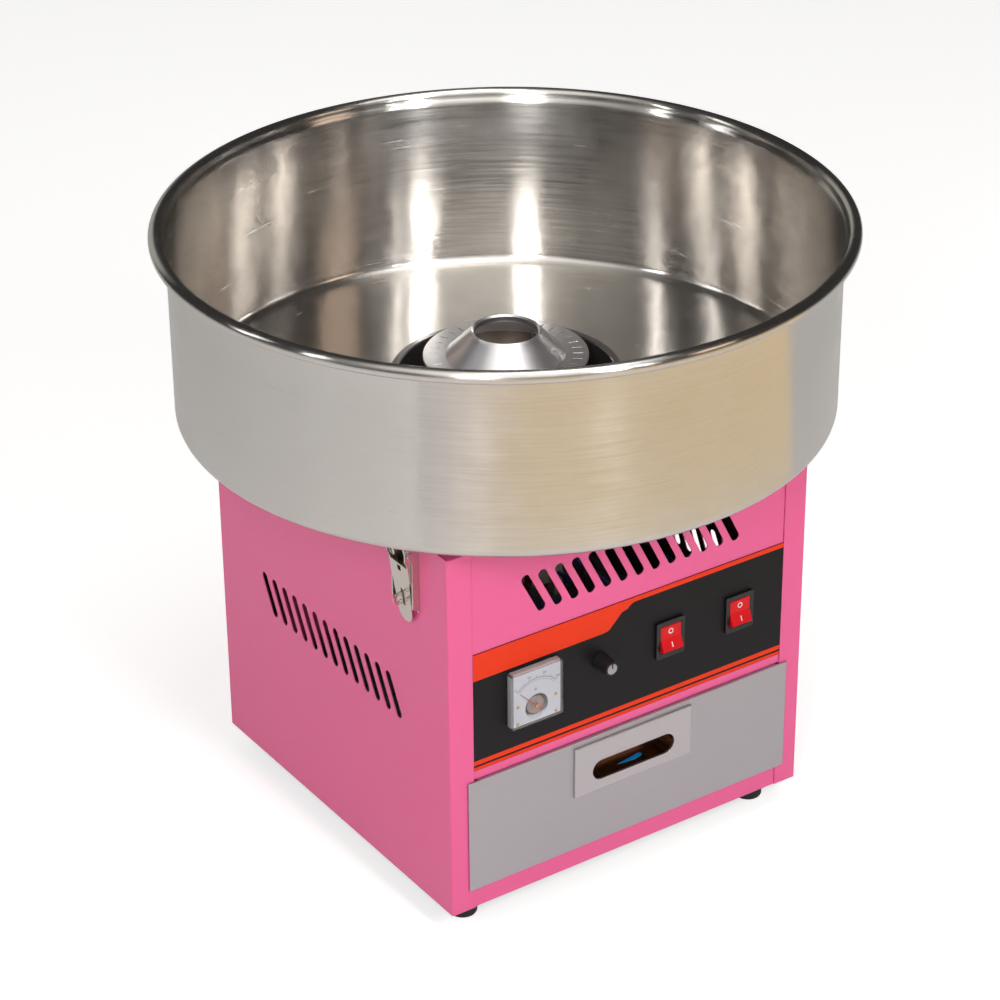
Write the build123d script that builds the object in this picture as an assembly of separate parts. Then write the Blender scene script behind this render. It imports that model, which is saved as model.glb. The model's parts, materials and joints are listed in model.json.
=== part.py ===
"""Electric candy floss machine: a steel cabinet with a drawer, a spinning head and a steel bowl.

Millimetres. Z is up, the front faces -Y, and the origin is on the floor under the head's axis.
"""
from build123d import *
import math
import os

# ---------------------------------------------------------------- driving dimensions
FOOT_H, FOOT_R, FOOT_INSET = 20.0, 11.0, 26.0
CABINET = 324.0                      # width and depth of the cabinet
CABINET_TOP = 322.0
SHEET = 1.2                          # painted steel of the cabinet
RETURN_W = 20.5                      # folded front and rear edges of the side panels
PANEL_SETBACK = 1.0                  # the front panel lies this far behind those edges
VENT_COUNT, VENT_PITCH = 13, 14.65
VENT_LENGTH, VENT_WIDTH, VENT_TILT = 29.4, 7.4, 27.3
FRONT_VENT_Z, SIDE_VENT_Z = 271.5, 175.5

BOWL_R, BOWL_BOTTOM, BOWL_TOP = 248.0, 335.0, 484.0
BOWL_SHEET, BOWL_CORNER_R, BOWL_HOLE_R = 1.0, 8.0, 84.0
BEAD_CENTRE_R, BEAD_R, BEAD_SHEET = 255.0, 5.0, 0.8
COLLAR_R, COLLAR_H = 88.5, 22.5

PLATE_BOTTOM, PLATE_TOP, PLATE_T = 140.0, 238.0, 0.8
METER_X, METER_Z, METER_W, METER_H = -89.7, 190.2, 45.0, 46.5
KNOB_X, KNOB_Z = -29.5, 195.0
SWITCH_X, SWITCH_Z = {"heat": 34.0, "motor": 99.0}, 193.0
BEZEL_W, BEZEL_H, BEZEL_T = 26.0, 31.0, 2.4
ROCKER_TILT = 12.0

DRAWER_W, DRAWER_BOTTOM, DRAWER_TOP = 295.0, 37.5, 132.0
PULL_W, PULL_BOTTOM, PULL_TOP, PULL_T = 108.0, 84.5, 127.5, 2.0
SLOT_L, SLOT_H, SLOT_Z, POCKET_DEPTH = 76.0, 17.0, 102.0, 18.0

SHAFT_R = 6.0
HEAD_R, HEAD_CONE_R, HEAD_LIP_R, HEAD_HOLE_R = 62.0, 45.0, 25.5, 24.0
HEAD_FLANGE_Z, HEAD_TOP = 372.0, 392.0
BELT_RATIO = 1.5                     # turns of the motor for one turn of the head
BELT_Z = 221.0
MOTOR_Y = 92.0
RUN = 0.05                           # radial clearance of a running fit

LATCH_Y = 113.0
LEVER_PIVOT_X, LEVER_PIVOT_Z = 169.5, 312.0
BAIL_PIVOT_X, BAIL_PIVOT_Z = 168.0, 303.0
BAIL_LENGTH, BAIL_LEAN, BAIL_WIRE_R = 25.0, 14.0, 1.25
LATCH_SCREW_Z = (284.0, 297.0)

HALF = CABINET / 2
INNER = HALF - SHEET
PANEL_FACE = -(HALF - PANEL_SETBACK)          # front face of the front panel
PLATE_FACE = PANEL_FACE - PLATE_T             # front face of the control plate
PANEL_HALF_W = HALF - RETURN_W - 0.2
FOOT_XY = HALF - FOOT_INSET

nodes = {}


# ---------------------------------------------------------------- shared shapes
def block(x, y, z):
    """Rectangular block between two limits on each axis."""
    size = [high - low for low, high in (x, y, z)]
    centre = [(high + low) / 2 for low, high in (x, y, z)]
    return Pos(*centre) * Box(*size)


def post(radius, z0, z1, x=0.0, y=0.0):
    """Upright cylinder."""
    up = (Align.CENTER, Align.CENTER, Align.MIN)
    return Pos(x, y, z0) * Cylinder(radius, z1 - z0, align=up)


def pin_y(radius, y0, y1, x, z):
    """Cylinder along Y."""
    up = (Align.CENTER, Align.CENTER, Align.MIN)
    return Pos(x, y0, z) * Rot(-90, 0, 0) * Cylinder(radius, y1 - y0, align=up)


def pin_x(radius, x0, x1, y, z):
    """Cylinder along X."""
    up = (Align.CENTER, Align.CENTER, Align.MIN)
    return Pos(x0, y, z) * Rot(0, 90, 0) * Cylinder(radius, x1 - x0, align=up)


def ring(outer, inner, z0, z1, x=0.0, y=0.0):
    """Upright ring."""
    return post(outer, z0, z1, x, y) - post(inner, z0 - 1, z1 + 1, x, y)


def lathe(*points):
    """Solid of revolution about the head's axis from (radius, height) points."""
    return revolve(Plane.XZ * make_face(Polyline(*points, close=True)), Axis.Z)


def stadium_y(length, height, y0, y1, x, z):
    """Prism along Y with the outline of a slot lying along X."""
    outline = SlotCenterToCenter(length - height, height)
    return Pos(x, y1, z) * Rot(90, 0, 0) * extrude(outline, y1 - y0)


def hexagon_y(flats, y0, y1, x, z):
    """Hexagonal prism along Y."""
    outline = RegularPolygon(flats / 2, 6, major_radius=False)
    return Pos(x, y1, z) * Rot(90, 0, 0) * extrude(outline, y1 - y0)


def group(parts):
    """Separate solids that share one node."""
    return Compound(children=[solid for part in parts for solid in part.solids()])


def vents(lean):
    """Row of slanted slots in the XY plane, cut through both ways; lean sets the side of the top."""
    slot = Rot(0, 0, 90 - lean * VENT_TILT) * SlotCenterToCenter(VENT_LENGTH, VENT_WIDTH)
    first = -(VENT_COUNT - 1) / 2 * VENT_PITCH
    row = [Pos(first + i * VENT_PITCH, 0, 0) * slot for i in range(VENT_COUNT)]
    return [extrude(one, 5, both=True) for one in row]


# ---------------------------------------------------------------- cabinet
def side_panel():
    """Left panel: one sheet folded at its front and rear edges, with vents."""
    outer = block((-HALF, -HALF + RETURN_W), (-HALF, HALF), (FOOT_H, CABINET_TOP))
    outer = fillet(outer.edges().filter_by(Axis.Z).group_by(Axis.X)[0], 2.0)
    inside = block((-INNER, -HALF + RETURN_W + 1), (-INNER, INNER), (FOOT_H - 1, CABINET_TOP + 1))
    panel = outer - inside
    for slot in vents(1):
        panel -= Pos(-HALF, 0, SIDE_VENT_Z) * Plane.YZ.location * slot
    for y in (-LATCH_Y, LATCH_Y):
        for z in LATCH_SCREW_Z:
            panel -= pin_x(1.6, -HALF - 1, -INNER + 1, y, z)
    for z in COVER_SCREW_Z:
        panel -= pin_y(2.1, INNER - 1, HALF + 1, -COVER_SCREW_X, z)
    return panel


def control_holes():
    """Openings for the meter barrel, the regulator bushing and the two switch bodies."""
    y = (PLATE_FACE - 1, PANEL_FACE + SHEET + 1)
    holes = pin_y(BARREL_R + 0.2, *y, METER_X, METER_Z) + pin_y(4.6, *y, KNOB_X, KNOB_Z)
    for x in SWITCH_X.values():
        holes += block((x - 11.4, x + 11.4), y, (SWITCH_Z - 14.0, SWITCH_Z + 14.0))
    return holes


def front_panel():
    """Vent and control panel above the drawer, folded inwards along its lower edge."""
    low, high = DRAWER_TOP + 0.4, CABINET_TOP - SHEET - 0.2
    back = PANEL_FACE + SHEET
    panel = block((-PANEL_HALF_W, PANEL_HALF_W), (PANEL_FACE, back), (low, high))
    panel += block((-PANEL_HALF_W, PANEL_HALF_W), (PANEL_FACE, back + 10), (low, low + SHEET))
    for slot in vents(-1):
        panel -= Pos(0, PANEL_FACE, FRONT_VENT_Z) * Rot(90, 0, 0) * slot
    return panel - control_holes()


def control_plate():
    """Thin printed plate glued on the front panel."""
    plate = block((-PANEL_HALF_W, PANEL_HALF_W), (PLATE_FACE, PANEL_FACE), (PLATE_BOTTOM, PLATE_TOP))
    return plate - control_holes()


COVER_HALF_W, COVER_Z = 156.0, (26.0, 316.0)
COVER_SCREW_X, COVER_SCREW_Z = 150.0, (36.0, 128.0, 220.0, 306.0)
GLAND_X, GLAND_Z, GLAND_BORE_R = 100.0, 70.0, 4.5


def rear_cover():
    """Flat cover screwed over the rear edges of the side panels."""
    cover = block((-COVER_HALF_W, COVER_HALF_W), (HALF, HALF + SHEET), COVER_Z)
    for slot in vents(-1):
        cover -= Pos(0, HALF, FRONT_VENT_Z) * Rot(90, 0, 0) * slot
    for x in (-COVER_SCREW_X, COVER_SCREW_X):
        for z in COVER_SCREW_Z:
            cover -= pin_y(2.1, HALF - 1, HALF + 3, x, z)
    return cover - pin_y(8.1, HALF - 1, HALF + 3, GLAND_X, GLAND_Z)


def base_pan():
    """Bottom pan with its edges folded up; the front edge is the sill under the drawer."""
    edge = INNER - 0.2
    floor_top, rim = FOOT_H + SHEET, DRAWER_BOTTOM - 1.5
    pan = block((-edge, edge), (-edge, edge), (FOOT_H, floor_top))
    for side in (-1, 1):
        wall = sorted((side * edge, side * (edge - SHEET)))
        pan += block(wall, (-edge, edge), (floor_top, rim))
    pan += block((-PANEL_HALF_W, PANEL_HALF_W), (PANEL_FACE, PANEL_FACE + SHEET), (FOOT_H, rim))
    pan += block((-PANEL_HALF_W, PANEL_HALF_W), (edge - SHEET, edge), (FOOT_H, rim))
    for x in (-FOOT_XY, FOOT_XY):
        for y in (-FOOT_XY, FOOT_XY):
            pan -= post(2.2, FOOT_H - 1, floor_top + 1, x, y)
    return pan


HOUSING_SCREW_R = 33.0


def housing_screw_places():
    return [(HOUSING_SCREW_R * math.cos(a), HOUSING_SCREW_R * math.sin(a))
            for a in (math.radians(45 + 90 * i) for i in range(4))]


def top_deck():
    """Lid of the cabinet, folded down on all sides, with the hole of the bearing housing."""
    edge, low = INNER - 0.2, CABINET_TOP - SHEET
    deck = block((-edge, edge), (-edge, edge), (low, CABINET_TOP))
    inside = edge - SHEET
    rim = block((-edge, edge), (-inside, inside), (low - 11, low))
    deck += rim - block((-inside, inside), (-edge, edge), (low - 12, low))
    deck -= post(22.3, low - 1, CABINET_TOP + 1)
    for x, y in housing_screw_places():
        deck -= post(2.1, low - 1, CABINET_TOP + 1, x, y)
    return deck


def rubber_feet():
    """Four tapered feet with a deep recess for the screw head."""
    feet = []
    for x in (-FOOT_XY, FOOT_XY):
        for y in (-FOOT_XY, FOOT_XY):
            foot = Pos(x, y, 0) * lathe((0, 0), (FOOT_R - 0.8, 0), (FOOT_R, 1.5), (FOOT_R, FOOT_H), (0, FOOT_H))
            feet.append(foot - post(4.5, -1, 8, x, y) - post(2.2, 7, FOOT_H + 1, x, y))
    return group(feet)


def case_screws():
    """Screws of the feet, rear cover, latches and bearing housing, with the foot nuts."""
    screws = []
    for x in (-FOOT_XY, FOOT_XY):
        for y in (-FOOT_XY, FOOT_XY):
            screws.append(post(4.0, 5.4, 8, x, y) + post(2.0, 8, 27, x, y))
            nut = Pos(x, y, FOOT_H + SHEET) * extrude(RegularPolygon(3.5, 6, major_radius=False), 3.2)
            screws.append(nut - post(2.0, FOOT_H, 30, x, y))
    for x in (-COVER_SCREW_X, COVER_SCREW_X):
        for z in COVER_SCREW_Z:
            head = pin_y(3.6, HALF + SHEET, HALF + SHEET + 2.2, x, z)
            slot = block((x - 2.4, x + 2.4), (HALF + SHEET + 1.2, HALF + 4), (z - 0.4, z + 0.4))
            screws.append(head + pin_y(2.0, HALF - 6, HALF + SHEET, x, z) - slot)
    for side in (-1, 1):
        for y in (-LATCH_Y, LATCH_Y):
            for z in LATCH_SCREW_Z:
                plate = HALF + SHEET
                screws.append(pin_x(3.0, *sorted((side * plate, side * (plate + 1.6))), y, z)
                              + pin_x(1.5, *sorted((side * (HALF - 5), side * plate)), y, z))
    for x, y in housing_screw_places():
        screws.append(post(3.6, CABINET_TOP + 5, CABINET_TOP + 7.2, x, y) + post(2.0, 313, CABINET_TOP + 5, x, y))
    return group(screws)


def bowl_pads():
    """Four rubber pads on the deck that carry the bowl."""
    place = 105.0
    return group([post(12, CABINET_TOP, BOWL_BOTTOM, x, y)
                  for x in (-place, place) for y in (-place, place)])


def cord_gland():
    """Inlet gland in the rear cover, with its nut inside; the bore is clear for a lead."""
    outer_face = HALF + SHEET
    body = pin_y(8.0, 152, outer_face, GLAND_X, GLAND_Z)
    body += hexagon_y(22, outer_face, outer_face + 5, GLAND_X, GLAND_Z)
    dome = pin_y(10.0, outer_face + 5, outer_face + 14.8, GLAND_X, GLAND_Z)
    body += fillet(dome.edges().filter_by(GeomType.CIRCLE).sort_by(Axis.Y)[-1], 4.0)
    nut = hexagon_y(22, HALF - 6, HALF, GLAND_X, GLAND_Z) - pin_y(8.0, 150, 170, GLAND_X, GLAND_Z)
    return group([body - pin_y(GLAND_BORE_R, 150, 190, GLAND_X, GLAND_Z), nut])


# ---------------------------------------------------------------- bowl
def bowl_shell():
    """Round pan in 1 mm steel with a centre hole and a rolled rim."""
    inner_r, floor_top = BOWL_R - BOWL_SHEET, BOWL_BOTTOM + BOWL_SHEET
    bead_z = BOWL_TOP - BEAD_R
    bend_z = bead_z - BEAD_R - 0.5
    wall = make_face(Polyline((BOWL_HOLE_R, BOWL_BOTTOM), (BOWL_R, BOWL_BOTTOM), (BOWL_R, bend_z),
                              (inner_r, bend_z), (inner_r, floor_top), (BOWL_HOLE_R, floor_top), close=True))
    corners = wall.vertices().filter_by(lambda v: v.Y < floor_top + 0.1 and v.X > inner_r - 0.1)
    outer_corner = corners.sort_by(Axis.X)[-1]
    wall = fillet(outer_corner, BOWL_CORNER_R)
    inner_corner = wall.vertices().filter_by(
        lambda v: abs(v.Y - floor_top) < 0.1 and abs(v.X - inner_r) < 0.1)[0]
    wall = fillet(inner_corner, BOWL_CORNER_R - BOWL_SHEET)
    bead_inner = BEAD_CENTRE_R - BEAD_R
    flare = make_face(Polyline((inner_r, bend_z), (BOWL_R, bend_z), (bead_inner + BEAD_SHEET, bead_z - 1),
                               (bead_inner, bead_z), close=True))
    bead = Pos(BEAD_CENTRE_R, bead_z) * (Circle(BEAD_R) - Circle(BEAD_R - BEAD_SHEET))
    bead -= Pos(BEAD_CENTRE_R - 2.9, bead_z - 4.1) * Rot(0, 0, 45) * Rectangle(1.6, 2.4)
    return revolve(Plane.XZ * (wall + flare + bead), Axis.Z)


def bowl_collar():
    """Heat-proof black collar gripping the edge of the centre hole."""
    floor_top = BOWL_BOTTOM + BOWL_SHEET
    top, inner = floor_top + COLLAR_H - 1, BOWL_HOLE_R - 2.5
    body = lathe((inner, BOWL_BOTTOM - 2), (BOWL_HOLE_R, BOWL_BOTTOM - 2), (BOWL_HOLE_R, floor_top),
                 (COLLAR_R, floor_top), (COLLAR_R, top - 3), (COLLAR_R - 1.2, top), (inner, top))
    return fillet(body.edges().filter_by(GeomType.CIRCLE).group_by(Axis.Z)[-1], 1.4)


FOOT_Z = (324.8, 326.3)


def bowl_keepers():
    """Four spot-welded brackets; each has a foot that a latch bail hooks over."""
    bracket = block((-158.5, -140), (-10, 10), (BOWL_BOTTOM - 1.5, BOWL_BOTTOM))
    bracket += block((-160, -158.5), (-6.5, 6.5), (FOOT_Z[0], BOWL_BOTTOM))
    bracket += block((-171, -158.5), (-6.5, 6.5), FOOT_Z)
    return four_corners(Pos(0, -LATCH_Y, 0) * bracket)


# ---------------------------------------------------------------- latches
def mirrored(shape, side, end):
    """Copy of a left-front shape on the side (-1 left, 1 right) and the end (-1 front, 1 rear)."""
    if side > 0:
        shape = mirror(shape, about=Plane.YZ)
    if end > 0:
        shape = mirror(shape, about=Plane.XZ)
    return shape


def four_corners(shape):
    return group([mirrored(shape, side, end) for side in (-1, 1) for end in (-1, 1)])


def latch_base():
    """Channel-shaped base with a hasp eye and two riveted pivot pins, in the left-front place."""
    face = -HALF - SHEET
    half_w, fold, low, high = 13.7, 1.2, 264.0, 318.0
    base = block((face, -HALF), (-half_w, half_w), (low, high))
    edge, ear = face - 4.8, face - 8.0
    side_view = make_face(Polyline((face, low + 2), (edge + 2, low + 2), (edge, low + 4), (edge, high - 13),
                                   (ear, high - 8), (ear, high - 2), (ear + 1, high - 1), (face, high - 1),
                                   close=True))
    for y in (-half_w, half_w - fold):
        base += Pos(0, y + fold, 0) * extrude(Plane.XZ * side_view, fold)
    eye_x, eye_z, eye_r, eye_half_t = -170.8, 272.0, 5.0, 0.6
    eye = block((eye_x, face), (-eye_half_t, eye_half_t), (eye_z - eye_r, eye_z + eye_r))
    eye += pin_y(eye_r, -eye_half_t, eye_half_t, eye_x, eye_z)
    base += eye - pin_y(2.6, -1, 1, eye_x - 0.6, eye_z)
    for z in LATCH_SCREW_Z:
        base -= pin_x(1.6, face - 1, -HALF + 1, 0, z)
    pins = []
    for side in (-1, 1):
        span = sorted((side * (CHEEK_Y - CHEEK_T), side * half_w))
        head = sorted((side * half_w, side * (half_w + 1.2)))
        base -= pin_y(1.5, *sorted((side * 12.2, side * (half_w + 0.3))), -LEVER_PIVOT_X, LEVER_PIVOT_Z)
        pins.append(pin_y(1.5, *span, -LEVER_PIVOT_X, LEVER_PIVOT_Z)
                    + pin_y(2.6, *head, -LEVER_PIVOT_X, LEVER_PIVOT_Z))
    return four_corners(Pos(0, -LATCH_Y, 0) * group([base] + pins))


LEVER_T, CHEEK_Y, CHEEK_T = 1.2, 12.0, 1.2
LEVER_TOP_Z, LEVER_TIP_Z, LEVER_TIP_R = 302.6, 251.5, 8.6
LEVER_TOP_X, LEVER_TIP_X = -170.9, -164.9       # outer face at the plate's top and tip


def latch_lever():
    """Tapered lever sloping in towards its tip: outer plate with an eye slot, and two cheeks on the pins."""
    top, tip, tip_r = LEVER_TOP_Z, LEVER_TIP_Z, LEVER_TIP_R
    side_view = make_face(Polyline((LEVER_TOP_X, top), (LEVER_TIP_X, tip), (LEVER_TIP_X + LEVER_T, tip),
                                   (LEVER_TOP_X + LEVER_T, top), close=True))
    bent = extrude(Plane.XZ * side_view, CHEEK_Y + 1, both=True)
    outline = make_face(Polyline((-CHEEK_Y, top), (-CHEEK_Y, 296), (-tip_r, tip + tip_r), (tip_r, tip + tip_r),
                                 (CHEEK_Y, 296), (CHEEK_Y, top), close=True))
    outline += Pos(0, tip + tip_r) * Circle(tip_r)
    outline -= Pos(0, top) * Rectangle(2 * (CHEEK_Y - CHEEK_T) - 0.4, 3.4)
    outline -= Pos(0, 297.2) * Rectangle(4.6, 4.4)
    outline -= Pos(0, 272.4) * Rectangle(4.0, 13.6)
    lever = bent & Pos(-180, 0, 0) * extrude(Plane.YZ * outline, 20)
    cheek = make_face(Polyline((LEVER_TOP_X, top), (-172.8, 307), (-172.8, 314), (-170.5, 316.3), (-167.5, 316.1),
                               (-165.2, 313), (-165.2, 301), (-166.4, 295), (-168.2, 289), (-169.3, 289),
                               close=True))
    for y in (-CHEEK_Y, CHEEK_Y - CHEEK_T):
        lever += Pos(0, y + CHEEK_T, 0) * extrude(Plane.XZ * cheek, CHEEK_T)
    lever -= pin_y(1.5 + RUN, -14, 14, -LEVER_PIVOT_X, LEVER_PIVOT_Z)
    lever -= pin_y(BAIL_WIRE_R + RUN, -14, 14, -BAIL_PIVOT_X, BAIL_PIVOT_Z)
    return Pos(0, -LATCH_Y, 0) * lever


def latch_bail():
    """Wire loop on the lever, leaning out just clear of its keeper."""
    leg = 8.5
    path = FilletPolyline((0, -12, 0), (0, -leg, 0), (0, -leg, BAIL_LENGTH), (0, leg, BAIL_LENGTH),
                          (0, leg, 0), (0, 12, 0), radius=2.4)
    section = Plane(origin=path @ 0, z_dir=path % 0) * Circle(BAIL_WIRE_R)
    loop = sweep(section, path)
    return Pos(-BAIL_PIVOT_X, -LATCH_Y, BAIL_PIVOT_Z) * Rot(0, -BAIL_LEAN, 0) * loop


# ---------------------------------------------------------------- meter
WINDOW_T, METER_DEPTH, BARREL_R, BARREL_BACK = 1.0, 7.6, 18.5, -134.0
DIAL_BACK, DIAL_T = PLATE_FACE - 4.3, 0.8
ARCH_R, PIVOT_Z = 10.0, METER_Z - 9.5


def meter_block(inset, y0, y1):
    """Block with the meter's outline, inset from it all round."""
    half_w, half_h = METER_W / 2 - inset, METER_H / 2 - inset
    return block((METER_X - half_w, METER_X + half_w), (y0, y1), (METER_Z - half_h, METER_Z + half_h))


def meter_case():
    """Box in front of the plate and a barrel behind the panel, open to the front."""
    case = meter_block(WINDOW_T + 0.3, DIAL_BACK, PLATE_FACE)
    case += pin_y(BARREL_R, PLATE_FACE, BARREL_BACK, METER_X, METER_Z)
    return case - pin_y(BARREL_R - 1.5, DIAL_BACK - 1, BARREL_BACK - 2, METER_X, METER_Z)


def meter_dial():
    """White dial plate with an arched window over the movement."""
    dial = meter_block(WINDOW_T + 0.6, DIAL_BACK - DIAL_T, DIAL_BACK)
    return dial - pin_y(ARCH_R, DIAL_BACK - 2, DIAL_BACK + 1, METER_X, PIVOT_Z)


def meter_movement():
    """Moving-coil works set back behind the arched window, with the needle's pivot hole."""
    works = pin_y(7.3, DIAL_BACK + 1.2, BARREL_BACK - 2, METER_X, PIVOT_Z)
    works += pin_y(3.2, DIAL_BACK + 0.2, DIAL_BACK + 1.2, METER_X, PIVOT_Z)
    return works - pin_y(0.7 + RUN, DIAL_BACK - 1, -156, METER_X, PIVOT_Z)


def meter_window():
    """Clear square cover over the dial and needle."""
    front = PLATE_FACE - METER_DEPTH
    cover = meter_block(0, front, PLATE_FACE)
    cover = fillet(cover.edges().filter_by(Axis.Y), 2.0)
    cover = fillet(cover.faces().sort_by(Axis.Y)[0].edges(), 0.6)
    return cover - meter_block(WINDOW_T, front + WINDOW_T, PLATE_FACE + 1)


def meter_needle():
    """Needle with its hub, balance weight and pivot, pointing at the scale's low end."""
    y0, y1 = DIAL_BACK - 1.6, DIAL_BACK - 1.2
    blade = make_face(Polyline((-0.6, 0), (-0.25, 21), (0.25, 21), (0.6, 0), (1.4, -3), (1.4, -5.5),
                               (-1.4, -5.5), (-1.4, -3), close=True))
    blade = Pos(0, y1, 0) * Rot(90, 0, 0) * extrude(blade, y1 - y0)
    needle = blade + pin_y(1.7, DIAL_BACK - 1.9, DIAL_BACK - 0.4, 0, 0)
    needle += pin_y(0.7, DIAL_BACK - 0.5, -157, 0, 0)
    return Pos(METER_X, 0, PIVOT_Z) * Rot(0, -45, 0) * needle


# ---------------------------------------------------------------- switches and regulator
ROCKER_R, ROCKER_HALF_W = 11.5, 9.2
ROCKER_PIVOT_Y = PLATE_FACE + 1.5


def switch_housing(x):
    """Moulded switch body with its bezel and three spade terminals."""
    body = block((x - BEZEL_W / 2, x + BEZEL_W / 2), (PLATE_FACE - BEZEL_T, PLATE_FACE),
                 (SWITCH_Z - BEZEL_H / 2, SWITCH_Z + BEZEL_H / 2))
    body = fillet(body.edges().filter_by(Axis.Y), 1.5)
    body += block((x - 11.2, x + 11.2), (PLATE_FACE, -138), (SWITCH_Z - 13.8, SWITCH_Z + 13.8))
    body -= block((x - 9.5, x + 9.5), (PLATE_FACE - 3, -151), (SWITCH_Z - 11.8, SWITCH_Z + 11.8))
    body -= pin_x(1.5 + RUN, x - 11, x + 11, ROCKER_PIVOT_Y, SWITCH_Z)
    for dz in (-9, 0, 9):
        body += block((x - 3.15, x + 3.15), (-138, -130), (SWITCH_Z + dz - 0.4, SWITCH_Z + dz + 0.4))
    return body


def rocker(x):
    """Rocker with its two pivot pins, lower end standing out."""
    reach, depth = 20.0, 4.0
    rise = reach * math.tan(math.radians(ROCKER_TILT))
    profile = Circle(ROCKER_R) & Pos(-8, 0) * Rectangle(24, 30)
    front = make_face(Polyline((-depth, 0), (-depth - rise, reach), (-40, reach), (-40, -reach),
                               (-depth - rise, -reach), close=True))
    solid = extrude(Plane.YZ * (profile - front), ROCKER_HALF_W, both=True)
    solid += pin_x(1.5, -10.6, 10.6, 0, 0)
    return Pos(x, ROCKER_PIVOT_Y, SWITCH_Z) * Rot(-ROCKER_TILT, 0, 0) * solid


def regulator_pot():
    """Heat regulator behind the panel, its threaded bushing and its nut."""
    back = PANEL_FACE + SHEET
    pot = pin_y(12, back, back + 12, KNOB_X, KNOB_Z) + pin_y(4.5, PLATE_FACE - 3, back, KNOB_X, KNOB_Z)
    pot -= pin_y(3 + RUN, PLATE_FACE - 4, back + 9, KNOB_X, KNOB_Z)
    nut = hexagon_y(9.5, PLATE_FACE - 2, PLATE_FACE, KNOB_X, KNOB_Z)
    return group([pot, nut - pin_y(4.5, PLATE_FACE - 3, PLATE_FACE + 1, KNOB_X, KNOB_Z)])


def regulator_knob():
    """Tapered knob on its spindle, with a raised pointer line and fine grip flutes."""
    base_r, tip_r, length = 7.0, 5.6, 15.0
    start = PLATE_FACE - 0.6
    cone = Pos(KNOB_X, start, KNOB_Z) * Rot(90, 0, 0) * Cone(
        base_r, tip_r, length, align=(Align.CENTER, Align.CENTER, Align.MIN))
    for i in range(18):
        turn = Rot(0, 0, i * 20) * Pos(base_r - 0.35, 0, 7.6) * Rot(0, -5.3, 0) * Cylinder(0.45, 10)
        cone -= Pos(KNOB_X, start, KNOB_Z) * Rot(90, 0, 0) * turn
    cone -= pin_y(6.1, start - 3.0, start + 1, KNOB_X, KNOB_Z)
    pointer = block((KNOB_X - 0.5, KNOB_X + 0.5), (start - length - 0.5, start - length),
                    (KNOB_Z + 0.5, KNOB_Z + tip_r - 0.6))
    return cone + pointer + pin_y(3.0, start - 3.0, -153, KNOB_X, KNOB_Z)


# ---------------------------------------------------------------- drawer
FRONT_FACE = -HALF - 2.0
TRAY_HALF_W, TRAY_Z, TRAY_BACK, LIP_HALF_W = 138.5, (42.0, 117.0), 88.0, 138.0


def pocket_hole():
    return stadium_y(SLOT_L + 3.2, SLOT_H + 3.2, -170, -150, 0, SLOT_Z)


def drawer_front():
    """Brushed steel front plate with its top edge folded back."""
    plate = block((-DRAWER_W / 2, DRAWER_W / 2), (FRONT_FACE, FRONT_FACE + 1.6), (DRAWER_BOTTOM, DRAWER_TOP))
    plate = fillet(plate.faces().sort_by(Axis.Y)[0].edges(), 0.6)
    lip = block((-LIP_HALF_W, LIP_HALF_W), (FRONT_FACE + 1.6, -158), (DRAWER_TOP - SHEET, DRAWER_TOP))
    return plate + lip - pocket_hole()


def drawer_tray():
    """Open steel box behind the front plate."""
    y0 = FRONT_FACE + 1.6
    tray = block((-TRAY_HALF_W, TRAY_HALF_W), (y0, TRAY_BACK), TRAY_Z)
    tray -= block((-TRAY_HALF_W + 1, TRAY_HALF_W - 1), (y0 + 1, TRAY_BACK - 1), (TRAY_Z[0] + 1, TRAY_Z[1] + 1))
    return tray - pocket_hole()


def drawer_pull():
    """Raised plate with a deep rounded finger pocket."""
    face = FRONT_FACE - PULL_T
    pull = block((-PULL_W / 2, PULL_W / 2), (face, FRONT_FACE), (PULL_BOTTOM, PULL_TOP))
    pull = fillet(pull.faces().sort_by(Axis.Y)[0].edges(), 0.8)
    pull += stadium_y(SLOT_L + 2, SLOT_H + 2, FRONT_FACE, FRONT_FACE + POCKET_DEPTH, 0, SLOT_Z)
    return pull - stadium_y(SLOT_L, SLOT_H, face - 1, FRONT_FACE + POCKET_DEPTH - 1, 0, SLOT_Z)


def drawer_runners():
    """Channel-shaped runners on the side panels; the tray slides on the lower leg."""
    legs = ((TRAY_Z[0] - 1.4, TRAY_Z[0] - 0.2), (TRAY_Z[1] + 1.0, TRAY_Z[1] + 2.2))
    web = block((-INNER, -INNER + SHEET), (-158, 120), (legs[0][0], legs[1][1]))
    for z in legs:
        web += block((-INNER, -TRAY_HALF_W + 2.5), (-158, 120), z)
    return group([web, mirror(web, about=Plane.YZ)])


# ---------------------------------------------------------------- spinning head and its drive
SHAFT_Z = (150.0, 353.0)
BEARING_R, BEARING_H = 16.0, 10.0
HOUSING_Z = (236.0, 327.0)
BEARING_Z = (HOUSING_Z[0], HOUSING_Z[1] - BEARING_H)
RING_Z = (170.0, 192.0)
HEAD_FLOOR = 350.0


def drive_shaft():
    """Hollow shaft; its bore carries the heater wires."""
    return ring(SHAFT_R, 2.5, *SHAFT_Z)


def bearing_housing():
    """Flanged aluminium sleeve through the deck, with a bearing seat at each end."""
    top = HOUSING_Z[1]
    body = post(22, HOUSING_Z[0], top) + post(42, CABINET_TOP, top)
    body -= post(9.2, HOUSING_Z[0] - 1, top + 1)
    for z in BEARING_Z:
        body -= post(BEARING_R, z, z + BEARING_H)
    for x, y in housing_screw_places():
        body -= post(2.1, CABINET_TOP - 1, top + 1, x, y)
    return body


def bearing_outer_rings():
    """Outer rings of the two sealed ball bearings, with their seals."""
    rings = []
    for z in BEARING_Z:
        shell = ring(BEARING_R, 8.9, z, z + BEARING_H)
        rings.append(shell - ring(13.2, 8.0, z + 1, z + BEARING_H - 1))
    return group(rings)


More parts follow.
